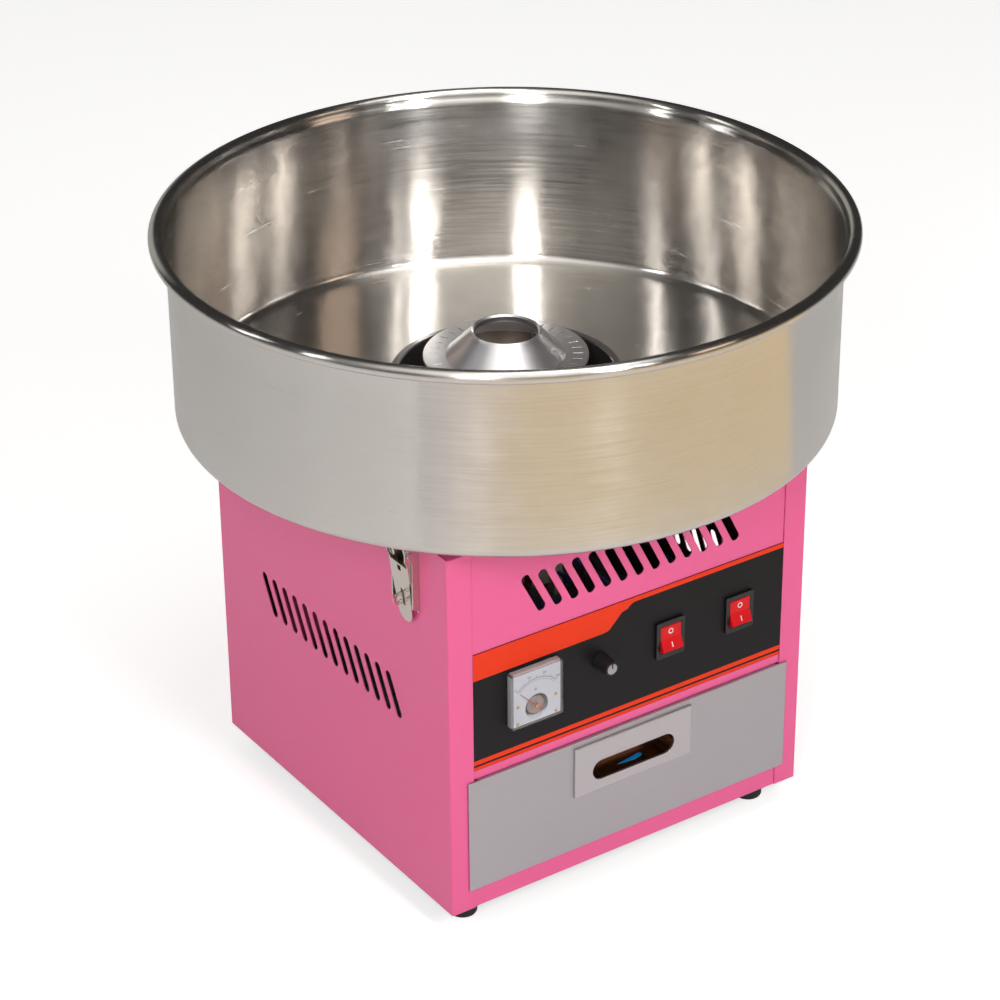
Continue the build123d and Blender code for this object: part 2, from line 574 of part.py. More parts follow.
def bearing_inner_rings():
    """Inner rings, pressed on the shaft."""
    return group([ring(8.6, SHAFT_R, z, z + BEARING_H) for z in BEARING_Z])


def slip_ring_sleeve():
    return ring(13, SHAFT_R, 156, 206)


def slip_rings():
    """Two copper rings that feed the heater."""
    return group([ring(17, 13, z - 6, z + 6) for z in RING_Z])


def brush_holder():
    """Insulating bracket hung from the deck, with a guide for each brush."""
    holder = block((36, 44), (-12, 12), (156, CABINET_TOP - SHEET))
    for z in RING_Z:
        holder += block((20, 36), (-5, 5), (z - 6, z + 6))
        holder -= block((19, 34), (-3, 3), (z - 4, z + 4))
    return holder


def carbon_brushes():
    return group([block((17.3, 34), (-3, 3), (z - 4, z + 4)) for z in RING_Z])


BELT_T, BELT_W = 4.0, 8.0
DRIVEN_LINE_R = 30.0                              # middle of the belt on the driven pulley
MOTOR_LINE_R = DRIVEN_LINE_R / BELT_RATIO


def pulley(line_r, bore, y):
    """Flat belt pulley with two flanges."""
    groove = line_r - BELT_T / 2 - 0.3
    half = BELT_W / 2
    wheel = post(line_r + BELT_T / 2 + 0.6, BELT_Z - half - 3.5, BELT_Z + half + 3.5, 0, y)
    wheel -= ring(line_r + 20, groove, BELT_Z - half - 0.5, BELT_Z + half + 0.5, 0, y)
    return wheel - post(bore, BELT_Z - 20, BELT_Z + 20, 0, y)


def belt_outline(offset):
    """Outline of the belt run round both pulleys, offset from its middle line."""
    big, small = DRIVEN_LINE_R + offset, MOTOR_LINE_R + offset
    lean = math.asin((big - small) / MOTOR_Y)
    c, s = math.cos(lean), math.sin(lean)
    sides = make_face(Polyline((big * c, big * s), (small * c, MOTOR_Y + small * s),
                               (-small * c, MOTOR_Y + small * s), (-big * c, big * s), close=True))
    return Circle(big) + Pos(0, MOTOR_Y) * Circle(small) + sides


def drive_belt():
    band = belt_outline(BELT_T / 2) - belt_outline(-BELT_T / 2)
    return Pos(0, 0, BELT_Z - BELT_W / 2) * extrude(band, BELT_W)


def head_base():
    """Turned aluminium dish on the shaft, with three screw holes."""
    base = lathe((SHAFT_R, HEAD_FLOOR - 10), (14, HEAD_FLOOR - 10), (14, HEAD_FLOOR), (58, HEAD_FLOOR),
                 (58, 362), (56, 362), (56, HEAD_FLOOR + 3), (SHAFT_R, HEAD_FLOOR + 3))
    for x, y in head_screw_places():
        base -= post(2.1, HEAD_FLOOR - 1, HEAD_FLOOR + 4, x, y)
    return base


def head_screw_places():
    return [(48 * math.cos(a), 48 * math.sin(a)) for a in (math.radians(30 + 120 * i) for i in range(3))]


def head_band():
    """Slotted band between base and cover, where the sugar threads leave."""
    band = ring(58, 57, 362, HEAD_FLANGE_Z - 2)
    for i in range(36):
        band -= Rot(0, 0, i * 10) * block((56, 59), (-1.2, 1.2), (363.2, 368.8))
    return band


def head_cover():
    """Slotted flange and cone of the head, open at the top for the sugar."""
    low = HEAD_FLANGE_Z - 2
    cover = lathe((HEAD_CONE_R - 2, low), (HEAD_R, low), (HEAD_R, HEAD_FLANGE_Z), (HEAD_CONE_R, HEAD_FLANGE_Z),
                  (HEAD_LIP_R + 1.2, HEAD_TOP - 1.5), (HEAD_LIP_R, HEAD_TOP), (HEAD_HOLE_R, HEAD_TOP - 1),
                  (HEAD_HOLE_R, HEAD_TOP - 5))
    for i in range(36):
        cover -= Rot(0, 0, 5 + i * 10) * block((50.5, 57.5), (-0.4, 0.4), (low - 1, HEAD_FLANGE_Z + 1))
    for x, y in head_screw_places():
        cover -= post(2.0, low - 1, low + 1, x, y)
    return cover


def heating_element():
    """Ring-shaped ribbon heater inside the head."""
    return ring(53.5, 51.5, 354.5, 367.5)


def head_screws():
    return group([post(3.8, HEAD_FLOOR - 2.4, HEAD_FLOOR, x, y) + post(2.0, HEAD_FLOOR, HEAD_FLANGE_Z - 1, x, y)
                  for x, y in head_screw_places()])


# ---------------------------------------------------------------- motor and electrics
MOTOR_Z = (234.0, 312.0)
BRACKET_POST = 44.0


def motor_bracket():
    """Plate under the motor on four posts from the deck."""
    low = MOTOR_Z[0] - 3
    y = (MOTOR_Y - 50, MOTOR_Y + 50)
    bracket = block((-50, 50), y, (low, MOTOR_Z[0])) - post(13, low - 1, MOTOR_Z[0] + 1, 0, MOTOR_Y)
    for dx in (-BRACKET_POST, BRACKET_POST):
        for dy in (-BRACKET_POST, BRACKET_POST):
            bracket += post(4, MOTOR_Z[0], CABINET_TOP - SHEET, dx, MOTOR_Y + dy)
    return bracket


def motor_case():
    """Motor shell with a bearing boss at each end, and its wound stator inside."""
    low, high = MOTOR_Z
    shell = post(40, low, high - 6, 0, MOTOR_Y) + post(18, high - 6, high, 0, MOTOR_Y)
    shell -= post(36, low + 6, high - 12, 0, MOTOR_Y) + post(5 + RUN, low - 1, high + 1, 0, MOTOR_Y)
    stator = ring(36, 24.6, low + 12, high - 18, 0, MOTOR_Y)
    return group([shell, stator])


def motor_shaft():
    """Motor shaft with its rotor."""
    return post(5, BELT_Z - 8, MOTOR_Z[1] + 4, 0, MOTOR_Y) + post(24, MOTOR_Z[0] + 14, MOTOR_Z[1] - 20, 0, MOTOR_Y)


BOARD_X = -147.0


def regulator_board():
    """Heater control board on standoffs, with heat sink, capacitors, relay and terminals."""
    board = block((BOARD_X, BOARD_X + 1.6), (-70, 30), (205, 290))
    face = BOARD_X + 1.6
    parts = [board]
    for y in (-65, 25):
        for z in (210, 285):
            parts.append(pin_x(3, -INNER, BOARD_X, y, z))
    sink = block((face, face + 4), (-62, -22), (222, 276))
    for i in range(6):
        y = -62 + i * 7.6
        sink += block((face + 4, face + 20), (y, y + 2), (222, 276))
    parts += [sink, pin_x(7, face, face + 22, -8, 262), pin_x(5, face, face + 16, 10, 262)]
    parts += [block((face, face + 14), (-14, 6), (228, 244)), block((face, face + 10), (10, 26), (212, 250))]
    return group(parts)


def terminal_block():
    """Three-pole mains terminal block on the right side panel."""
    body = block((INNER - 14, INNER), (70, 112), (140, 158))
    for y in (77, 91, 105):
        body -= post(2.6, 150, 159, INNER - 7, y)
    return body


def wiring_loom():
    """Insulated wires between terminals, switches, board, brushes and motor."""
    def wire(*points):
        path = FilletPolyline(*points, radius=12)
        return sweep(Plane(origin=path @ 0, z_dir=path % 0) * Circle(1.6), path)
    return group([
        wire((152, 70, 149), (152, -30, 149), (99, -80, 184), (99, -130, 184)),
        wire((99, -130, 202), (99, -100, 202), (92, 0, 285), (75, 92, 285), (40.3, 92, 285)),
        wire((34, -130, 202), (34, -100, 202), (-60, -80, 300), (-120, 0, 300), (-120, 18, 290), (-120, 18, 251)),
        wire((-135, 18, 211), (-135, 18, 180), (-60, -40, 175), (40, -50, 175), (40, -12, 175)),
    ])


# ---------------------------------------------------------------- all nodes
nodes["side_panel_left"] = side_panel()
nodes["side_panel_right"] = mirror(nodes["side_panel_left"], about=Plane.YZ)
nodes["front_panel"] = front_panel()
nodes["control_plate"] = control_plate()
nodes["rear_cover"] = rear_cover()
nodes["base_pan"] = base_pan()
nodes["top_deck"] = top_deck()
nodes["rubber_feet"] = rubber_feet()
nodes["case_screws"] = case_screws()
nodes["bowl_pads"] = bowl_pads()
nodes["cord_gland"] = cord_gland()
nodes["latch_bases"] = latch_base()
nodes["meter_case"] = meter_case()
nodes["meter_movement"] = meter_movement()
nodes["meter_dial"] = meter_dial()
nodes["meter_window"] = meter_window()
nodes["meter_needle"] = meter_needle()
for name, x in SWITCH_X.items():
    nodes[f"switch_housing_{name}"] = switch_housing(x)
    nodes[f"rocker_{name}"] = rocker(x)
nodes["regulator_pot"] = regulator_pot()
nodes["regulator_knob"] = regulator_knob()
nodes["drawer_front"] = drawer_front()
nodes["drawer_tray"] = drawer_tray()
nodes["drawer_pull"] = drawer_pull()
nodes["drawer_runners"] = drawer_runners()
nodes["drive_shaft"] = drive_shaft()
nodes["bearing_housing"] = bearing_housing()
nodes["bearing_outer_rings"] = bearing_outer_rings()
nodes["bearing_inner_rings"] = bearing_inner_rings()
nodes["slip_ring_sleeve"] = slip_ring_sleeve()
nodes["slip_rings"] = slip_rings()
nodes["brush_holder"] = brush_holder()
nodes["carbon_brushes"] = carbon_brushes()
nodes["driven_pulley"] = pulley(DRIVEN_LINE_R, SHAFT_R, 0)
nodes["motor_pulley"] = pulley(MOTOR_LINE_R, 5, MOTOR_Y)
nodes["drive_belt"] = drive_belt()
nodes["head_base"] = head_base()
nodes["head_band"] = head_band()
nodes["head_cover"] = head_cover()
nodes["heating_element"] = heating_element()
nodes["head_screws"] = head_screws()
nodes["motor_bracket"] = motor_bracket()
nodes["motor_case"] = motor_case()
nodes["motor_shaft"] = motor_shaft()
nodes["regulator_board"] = regulator_board()
nodes["terminal_block"] = terminal_block()
nodes["wiring_loom"] = wiring_loom()
nodes["bowl_shell"] = bowl_shell()
nodes["bowl_collar"] = bowl_collar()
nodes["bowl_keepers"] = bowl_keepers()
lever, bail = latch_lever(), latch_bail()
for corner, side, end in (("front_left", -1, -1), ("front_right", 1, -1), ("rear_left", -1, 1), ("rear_right", 1, 1)):
    nodes[f"latch_lever_{corner}"] = mirrored(lever, side, end)
    nodes[f"latch_bail_{corner}"] = mirrored(bail, side, end)

os.makedirs("parts", exist_ok=True)
for name, shape in nodes.items():
    export_step(shape, f"parts/{name}.step")
print(len(nodes), "nodes")
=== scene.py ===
"""Looks of the electric candy floss machine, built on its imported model. Metres, front towards -Y."""
import json
import math

import bmesh
import bpy
from mathutils import Matrix, Vector


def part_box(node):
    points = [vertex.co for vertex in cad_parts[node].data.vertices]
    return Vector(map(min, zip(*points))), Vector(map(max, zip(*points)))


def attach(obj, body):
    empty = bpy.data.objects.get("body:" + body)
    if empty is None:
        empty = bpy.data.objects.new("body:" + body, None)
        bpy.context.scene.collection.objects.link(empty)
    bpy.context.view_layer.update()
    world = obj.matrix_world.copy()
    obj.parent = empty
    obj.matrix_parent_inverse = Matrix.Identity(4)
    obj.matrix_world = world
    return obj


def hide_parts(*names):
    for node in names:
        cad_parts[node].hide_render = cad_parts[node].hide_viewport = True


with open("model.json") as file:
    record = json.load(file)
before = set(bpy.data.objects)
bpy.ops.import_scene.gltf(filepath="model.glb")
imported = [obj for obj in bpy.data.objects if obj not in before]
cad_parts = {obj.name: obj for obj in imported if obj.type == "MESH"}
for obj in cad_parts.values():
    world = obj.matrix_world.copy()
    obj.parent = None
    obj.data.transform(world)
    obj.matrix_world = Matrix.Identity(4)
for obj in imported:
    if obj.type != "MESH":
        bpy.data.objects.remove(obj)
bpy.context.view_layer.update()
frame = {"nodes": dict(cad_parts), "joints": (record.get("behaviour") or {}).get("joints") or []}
parts = frame["nodes"]
scene = bpy.context.scene
scene.view_settings.view_transform = "Standard"


# ---------------------------------------------------------------- camera
# A long lens 2.4 m away at the machine's front left, looking down on it, with a slight roll.
view_azimuth, view_elevation, view_roll = (math.radians(a) for a in (-34.267, 28.773, -0.481))
view_distance, aim_side, aim_height = 2.4171, -0.0053, 0.2469
sensor_width, lens_over_sensor = 36.0, 3.156

towards_camera = Vector((math.sin(view_azimuth) * math.cos(view_elevation),
                         -math.cos(view_azimuth) * math.cos(view_elevation), math.sin(view_elevation)))
level_right = Vector((math.cos(view_azimuth), math.sin(view_azimuth), 0))
level_up = towards_camera.cross(level_right)
frame_right = level_right * math.cos(view_roll) + level_up * math.sin(view_roll)
frame_up = level_up * math.cos(view_roll) - level_right * math.sin(view_roll)
camera_place = towards_camera * view_distance + level_right * aim_side + Vector((0, 0, aim_height))

lens = bpy.data.cameras.new("photo_camera")
lens.sensor_width = sensor_width
lens.lens = sensor_width * lens_over_sensor
lens.clip_start, lens.clip_end = 0.1, 50
camera = bpy.data.objects.new("photo_camera", lens)
turn = Matrix((frame_right, frame_up, towards_camera)).transposed().to_4x4()
camera.matrix_world = Matrix.Translation(camera_place) @ turn
scene.collection.objects.link(camera)
scene.camera = camera


# ---------------------------------------------------------------- studio
# Pale floor in an even pale room. Shiny metal sees the room as it is: dim, with soft bright
# patches above and behind the camera, a pale backdrop, upright strip lamps and a warm floor.
def linear(red, green, blue):
    """Linear colour of a colour written as 0 to 255."""
    values = [c / 255 for c in (red, green, blue)]
    return tuple(c / 12.92 if c <= 0.04045 else ((c + 0.055) / 1.055) ** 2.4 for c in values)


def node(tree, kind, operation=None, **values):
    """Shader node; values are numbers or sockets for its inputs, by name or as in0, in1 and so on."""
    made = tree.nodes.new("ShaderNode" + kind)
    if operation:
        made.operation = operation
    for label, value in values.items():
        place = int(label[2:]) if label[:2] == "in" and label[2:].isdigit() else label.replace("_", " ")
        socket = made.inputs[place]
        if isinstance(value, bpy.types.NodeSocket):
            tree.links.new(value, socket)
        else:
            socket.default_value = value
    return made


def ramp(tree, value, low, high, to_low=0.0, to_high=1.0):
    """Value taken smoothly from between low and high to between to_low and to_high."""
    made = node(tree, "MapRange", Value=value)
    made.interpolation_type = "SMOOTHSTEP"
    for label, number in (("From Min", low), ("From Max", high), ("To Min", to_low), ("To Max", to_high)):
        made.inputs[label].default_value = number
    return made.outputs[0]


even_strength = 0.30
room = bpy.data.worlds.new("studio_room")
scene.world = room
room.use_nodes = True
walls = room.node_tree
towards = node(walls, "TexCoord").outputs["Generated"]


def soft_patch(azimuth, elevation, full, clear, strength):
    """Round patch of the room's light; all angles in degrees, full and clear are its soft edge."""
    a, e = math.radians(azimuth), math.radians(elevation)
    middle = (math.cos(a) * math.cos(e), math.sin(a) * math.cos(e), math.sin(e))
    nearness = node(walls, "VectorMath", "DOT_PRODUCT", in0=towards, in1=middle).outputs["Value"]
    return ramp(walls, nearness, math.cos(math.radians(clear)), math.cos(math.radians(full)), 0.0, strength)


reflected = 0.05
for patch in ((-124, 62, 8, 44, 1.5), (-115, 27, 12, 42, 0.5), (-170, 29, 5, 17, 0.4), (84, 8, 12, 24, 0.5)):
    reflected = node(walls, "Math", "ADD", in0=reflected, in1=soft_patch(*patch)).outputs[0]
ray = node(walls, "LightPath")
strength = node(walls, "Mix", Factor=ray.outputs["Is Glossy Ray"], in2=even_strength, in3=reflected)
seen_by_metal = walls.nodes["Background"]
seen_by_metal.inputs["Color"].default_value = (*linear(240, 238, 234), 1)
walls.links.new(strength.outputs[0], seen_by_metal.inputs["Strength"])
seen_white = node(walls, "Background", Color=(1, 1, 1, 1))
by_ray = node(walls, "MixShader", in0=ray.outputs["Is Camera Ray"], in1=seen_by_metal.outputs[0],
              in2=seen_white.outputs[0])
walls.links.new(by_ray.outputs[0], walls.nodes["World Output"].inputs[0])


def flat_piece(name, corners, material):
    """Flat piece with straight edges."""
    mesh = bpy.data.meshes.new(name)
    mesh.from_pydata([Vector(c) for c in corners], [], [tuple(range(len(corners)))])
    mesh.materials.append(material)
    piece = bpy.data.objects.new(name, mesh)
    scene.collection.objects.link(piece)
    return piece


floor_half, floor_lift, mirrored_lift = 3.0, 0.55, 0.12
floor_paint = bpy.data.materials.new("floor_paint")
floor_paint.use_nodes = True
floor_tree = floor_paint.node_tree
floor_shader = floor_tree.nodes["Principled BSDF"]
floor_shader.inputs["Base Color"].default_value = (0.86, 0.855, 0.85, 1)
floor_shader.inputs["Roughness"].default_value = 0.75
floor_shader.inputs["Emission Color"].default_value = (1, 1, 1, 1)
floor_ray = node(floor_tree, "LightPath")
seen = node(floor_tree, "Math", "MULTIPLY", in0=floor_ray.outputs["Is Camera Ray"], in1=floor_lift)
glow = node(floor_tree, "Math", "MULTIPLY_ADD", in0=floor_ray.outputs["Is Glossy Ray"], in1=mirrored_lift,
            in2=seen.outputs[0])
floor_tree.links.new(glow.outputs[0], floor_shader.inputs["Emission Strength"])
flat_piece("floor", [(-floor_half, -floor_half, 0), (floor_half, -floor_half, 0),
                              (floor_half, floor_half, 0), (-floor_half, floor_half, 0)], floor_paint)

wood_near, wood_far, wood_height = 0.74, 2.9, 0.002
wood_first, wood_warm, wood_last, wood_steps = -150.0, -112.0, -25.0, 24
wood_glow = bpy.data.materials.new("wood_glow")
wood_glow.use_nodes = True
wood_tree = wood_glow.node_tree
wood_tree.nodes.remove(wood_tree.nodes["Principled BSDF"])
wood_place = node(wood_tree, "SeparateXYZ", Vector=node(wood_tree, "TexCoord").outputs["Object"])
wood_angle = node(wood_tree, "Math", "ARCTAN2", in0=wood_place.outputs["Y"], in1=wood_place.outputs["X"])
into_wood = ramp(wood_tree, wood_angle.outputs[0], math.radians(wood_first), math.radians(wood_warm))
wood_colour = node(wood_tree, "Mix")
wood_colour.data_type = "RGBA"
wood_tree.links.new(into_wood, wood_colour.inputs[0])
wood_colour.inputs[6].default_value = (*linear(236, 230, 230), 1)
wood_colour.inputs[7].default_value = (*linear(255, 231, 192), 1)
wood_light = node(wood_tree, "Emission", Color=wood_colour.outputs[2], Strength=1.0)
wood_tree.links.new(wood_light.outputs[0], wood_tree.nodes["Material Output"].inputs[0])
wood_angles = [math.radians(wood_first + (wood_last - wood_first) * i / wood_steps)
               for i in range(wood_steps + 1)]
wood_edge = [(wood_far * math.cos(a), wood_far * math.sin(a), wood_height) for a in wood_angles]
wood_edge += [(wood_near * math.cos(a), wood_near * math.sin(a), wood_height)
              for a in reversed(wood_angles)]
wood = flat_piece("warm_floor", wood_edge, wood_glow)
wood.visible_camera = wood.visible_diffuse = wood.visible_shadow = wood.visible_transmission = False


def strip_lamp(name, azimuth, elevation, distance, width, length, power, colour=(1, 1, 1)):
    """Upright soft box that faces the machine; angles in degrees, azimuth from +X."""
    a, e = math.radians(azimuth), math.radians(elevation)
    middle = Vector((0, 0, 0.28))
    outwards = Vector((math.cos(a) * math.cos(e), math.sin(a) * math.cos(e), math.sin(e)))
    lamp = bpy.data.lights.new(name, "AREA")
    lamp.shape, lamp.size, lamp.size_y, lamp.energy, lamp.color = "RECTANGLE", width, length, power, colour
    holder = bpy.data.objects.new(name, lamp)
    across = Vector((-math.sin(a), math.cos(a), 0))
    facing_in = Matrix((across, outwards.cross(across), outwards)).transposed().to_4x4()
    holder.matrix_world = Matrix.Translation(middle + outwards * distance) @ facing_in
    scene.collection.objects.link(holder)


strip_lamp("front_left_lamp", -133, 30, 2.6, 0.28, 0.9, 19)
strip_lamp("front_lamp", -92, 32, 2.6, 0.18, 0.9, 19)
strip_lamp("front_strip_lamp", -82, 32, 2.6, 0.05, 0.9, 2.4)
strip_lamp("right_warm_lamp", -58, 30, 2.6, 0.60, 0.6, 2.5, (1, 0.78, 0.62))
strip_lamp("left_strip_lamp", 175.6, 30, 2.6, 0.07, 0.9, 4)
strip_lamp("left_lamp", 150, 30, 2.6, 0.2, 0.9, 3)
strip_lamp("overhead_lamp", -60, 80, 2.4, 1.0, 1.0, 12)


# ---------------------------------------------------------------- cabinet sheets
# Side panels, vent panel, rear cover, bottom pan and lid: folded steel sheet under a glossy
# sprayed coat, a little uneven as sprayed paint is, thinner and paler on the folded edges.
def new_group(name, inputs, outputs):
    """Empty shader group; inputs are (name, kind, value) and outputs (name, kind)."""
    group = bpy.data.node_groups.new(name, "ShaderNodeTree")
    for label, kind, value in inputs:
        socket = group.interface.new_socket(label, in_out="INPUT", socket_type="NodeSocket" + kind)
        socket.default_value = value
    for label, kind in outputs:
        group.interface.new_socket(label, in_out="OUTPUT", socket_type="NodeSocket" + kind)
    return group, group.nodes.new("NodeGroupInput"), group.nodes.new("NodeGroupOutput")


def noise(tree, place, size, detail):
    """Noise whose patches are about size metres wide."""
    scale = node(tree, "Math", "DIVIDE", in0=1.0, in1=size)
    return node(tree, "TexNoise", Vector=place, Scale=scale.outputs[0], Detail=detail).outputs["Fac"]


def unevenness_group():
    """Patches of slightly different tone and gloss, slow waves, and a fine grain."""
    group, given, result = new_group(
        "surface_unevenness",
        [("Colour", "Color", (0.8, 0.8, 0.8, 1)), ("Patch Size", "Float", 0.06), ("Tone", "Float", 0.06),
         ("Grain Size", "Float", 0.0015), ("Roughness", "Float", 0.3), ("Spread", "Float", 0.08)],
        [("Colour", "Color"), ("Roughness", "Float"), ("Grain", "Float"), ("Waves", "Float")])
    place = node(group, "TexCoord").outputs["Object"]
    patches = noise(group, place, given.outputs["Patch Size"], 4.0)
    centred = node(group, "Math", "SUBTRACT", in0=patches, in1=0.5).outputs[0]
    tone = node(group, "Math", "MULTIPLY_ADD", in0=centred, in1=given.outputs["Tone"], in2=1.0)
    tinted = node(group, "VectorMath", "SCALE", in0=given.outputs["Colour"], Scale=tone.outputs[0])
    rough = node(group, "Math", "MULTIPLY_ADD", in0=centred, in1=given.outputs["Spread"],
                 in2=given.outputs["Roughness"])
    group.links.new(tinted.outputs[0], result.inputs["Colour"])
    group.links.new(rough.outputs[0], result.inputs["Roughness"])
    group.links.new(noise(group, place, given.outputs["Grain Size"], 2.0), result.inputs["Grain"])
    group.links.new(noise(group, place, given.outputs["Patch Size"], 1.0), result.inputs["Waves"])
    return group


def worn_edge_group():
    """Edges: the softened normal there, and a mask of where the edge is rubbed."""
    group, given, result = new_group(
        "worn_edges", [("Radius", "Float", 0.0006), ("Wear Size", "Float", 0.008)],
        [("Normal", "Vector"), ("Mask", "Float")])
    soft = node(group, "Bevel", Radius=given.outputs["Radius"])
    soft.samples = 4
    flat = node(group, "NewGeometry").outputs["Normal"]
    match = node(group, "VectorMath", "DOT_PRODUCT", in0=soft.outputs[0], in1=flat).outputs["Value"]
    rubbed = noise(group, node(group, "TexCoord").outputs["Object"], given.outputs["Wear Size"], 5.0)
    mask = node(group, "Math", "MULTIPLY", in0=ramp(group, match, 0.99, 0.80),
                in1=ramp(group, rubbed, 0.38, 0.62))
    group.links.new(soft.outputs[0], result.inputs["Normal"])
    group.links.new(mask.outputs[0], result.inputs["Mask"])
    return group


def brush_group():
    """Brush lines, straight or round the upright axis, from a line's length and width."""
    group, given, result = new_group(
        "brush_lines", [("Round", "Float", 0.0), ("Line Size", "Vector", (0.04, 0.0008, 0.0008))],
        [("Lines", "Float")])
    place = node(group, "TexCoord").outputs["Object"]
    xyz = node(group, "SeparateXYZ", Vector=place)
    angle = node(group, "Math", "ARCTAN2", in0=xyz.outputs["Y"], in1=xyz.outputs["X"])
    flat_place = node(group, "CombineXYZ", X=xyz.outputs["X"], Y=xyz.outputs["Y"])
    radius = node(group, "VectorMath", "LENGTH", in0=flat_place.outputs[0]).outputs["Value"]
    round_place = node(group, "CombineXYZ", X=node(group, "Math", "MULTIPLY", in0=angle.outputs[0],
                                                   in1=0.2).outputs[0], Y=radius, Z=xyz.outputs["Z"])
    chosen = node(group, "Mix")
    chosen.data_type = "VECTOR"
    group.links.new(given.outputs["Round"], chosen.inputs[0])
    group.links.new(place, chosen.inputs[4])
    group.links.new(round_place.outputs[0], chosen.inputs[5])
    stretched = node(group, "VectorMath", "DIVIDE", in0=chosen.outputs[1], in1=given.outputs["Line Size"])
    lines = node(group, "TexNoise", Vector=stretched.outputs[0], Scale=1.0, Detail=3.0)
    group.links.new(lines.outputs["Fac"], result.inputs["Lines"])
    return group


surface_unevenness = unevenness_group()
worn_edges = worn_edge_group()
brush_lines = brush_group()


def placed(tree, group, **values):
    """Shader group placed in a material with its own values."""
    made = tree.nodes.new("ShaderNodeGroup")
    made.node_tree = group
    for label, value in values.items():
        made.inputs[label.replace("_", " ")].default_value = value
    return made


def colour_mix(tree, mask, one, other):
    """Colour one where mask is 0 and colour other, a plain one, where it is 1."""
    mix = node(tree, "Mix")
    mix.data_type = "RGBA"
    tree.links.new(mask, mix.inputs[0])
    tree.links.new(one, mix.inputs[6])
    mix.inputs[7].default_value = (*linear(*other), 1)
    return mix.outputs[2]


def finish(name, colour, roughness, metallic=0.0, patch=0.06, tone=0.06, spread=0.08, grain=0.0015,
           grain_depth=0.00002, wave_depth=0.0, worn=None, wear=0.3, edge=0.0005, brush=None, **sockets):
    """Material of one finish: uneven tone and gloss, grain, softened and rubbed edges, brush lines.

    brush is (1 when round, line size on each axis, tone, depth).
    """
    material = bpy.data.materials.new(name)
    material.use_nodes = True
    tree = material.node_tree
    shader = tree.nodes["Principled BSDF"]
    shader.inputs["Metallic"].default_value = metallic
    for label, value in sockets.items():
        shader.inputs[label.replace("_", " ")].default_value = value
    uneven = placed(tree, surface_unevenness, Colour=(*linear(*colour), 1), Patch_Size=patch, Tone=tone,
                    Grain_Size=grain, Roughness=roughness, Spread=spread)
    edges = placed(tree, worn_edges, Radius=edge)
    shade, gloss, normal = uneven.outputs["Colour"], uneven.outputs["Roughness"], edges.outputs["Normal"]
    if brush:
        is_round, line_size, line_tone, line_depth = brush
        lines = placed(tree, brush_lines, Round=is_round, Line_Size=line_size).outputs["Lines"]
        centred = node(tree, "Math", "SUBTRACT", in0=lines, in1=0.5).outputs[0]
        line_shade = node(tree, "Math", "MULTIPLY_ADD", in0=centred, in1=line_tone, in2=1.0).outputs[0]
        shade = node(tree, "VectorMath", "SCALE", in0=shade, Scale=line_shade).outputs[0]
        gloss = node(tree, "Math", "MULTIPLY_ADD", in0=centred, in1=line_tone, in2=gloss).outputs[0]
        normal = node(tree, "Bump", Height=lines, Distance=line_depth, Normal=normal).outputs[0]
    if wave_depth:
        normal = node(tree, "Bump", Height=uneven.outputs["Waves"], Distance=wave_depth,
                      Normal=normal).outputs[0]
    rubbed = node(tree, "Math", "MULTIPLY", in0=edges.outputs["Mask"], in1=wear).outputs[0]
    shade = colour_mix(tree, rubbed, shade, worn or tuple(min(255, c + 40) for c in colour))
    normal = node(tree, "Bump", Height=uneven.outputs["Grain"], Distance=grain_depth,
                  Normal=normal).outputs[0]
    tree.links.new(shade, shader.inputs["Base Color"])
    tree.links.new(gloss, shader.inputs["Roughness"])
    tree.links.new(normal, shader.inputs["Normal"])
    return material


def change_where(material, mask, colour=None, roughness=None):
    """Give a finish another colour or roughness where mask is 1."""
    tree = material.node_tree
    inputs = tree.nodes["Principled BSDF"].inputs
    if colour:
        source = inputs["Base Color"].links[0].from_socket
        tree.links.new(colour_mix(tree, mask, source, colour), inputs["Base Color"])
    if roughness is not None:
        source = inputs["Roughness"].links[0].from_socket
        mix = node(tree, "Mix", in0=mask, in2=source, in3=roughness)
        tree.links.new(mix.outputs[0], inputs["Roughness"])


def dress(material, *names):
    """Give CAD nodes their material."""
    for name in names:
        for place in parts[name].material_slots:
            place.material = material


pink_paint = finish("pink_paint", (238, 92, 150), 0.3, patch=0.11, tone=0.05, grain=0.0022,
                    grain_depth=0.00003, worn=(250, 160, 196), wear=0.5, edge=0.0008,
                    Coat_Weight=0.2, Coat_Roughness=0.1)

# Painted shade: the inner faces, seen through the vents, are painted dark to stand in for the shade inside
# the cabinet, while the gloss pink coat stays on the outside.
shade_margin, shade_blend, painted_shade_colour = 0.0007, 0.0001, (58, 34, 44)
outer_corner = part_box("side_panel_right")[1]
front_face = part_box("front_panel")[0].y
paint_tree = pink_paint.node_tree
paint_place = node(paint_tree, "SeparateXYZ", Vector=node(paint_tree, "TexCoord").outputs["Object"])
across = node(paint_tree, "Math", "ABSOLUTE", in0=paint_place.outputs["X"]).outputs[0]
side_limit, front_limit, back_limit = (outer_corner.x - shade_margin, front_face + shade_margin,
                                       outer_corner.y - shade_margin)
behind_sides = ramp(paint_tree, across, side_limit, side_limit - shade_blend)
behind_front = ramp(paint_tree, paint_place.outputs["Y"], front_limit, front_limit + shade_blend)
before_back = ramp(paint_tree, paint_place.outputs["Y"], back_limit, back_limit - shade_blend)
between = node(paint_tree, "Math", "MULTIPLY", in0=behind_sides, in1=behind_front).outputs[0]
inside = node(paint_tree, "Math", "MULTIPLY", in0=between, in1=before_back).outputs[0]
change_where(pink_paint, inside, painted_shade_colour, 0.7)
dress(pink_paint, "side_panel_left", "side_panel_right", "front_panel", "rear_cover", "base_pan")
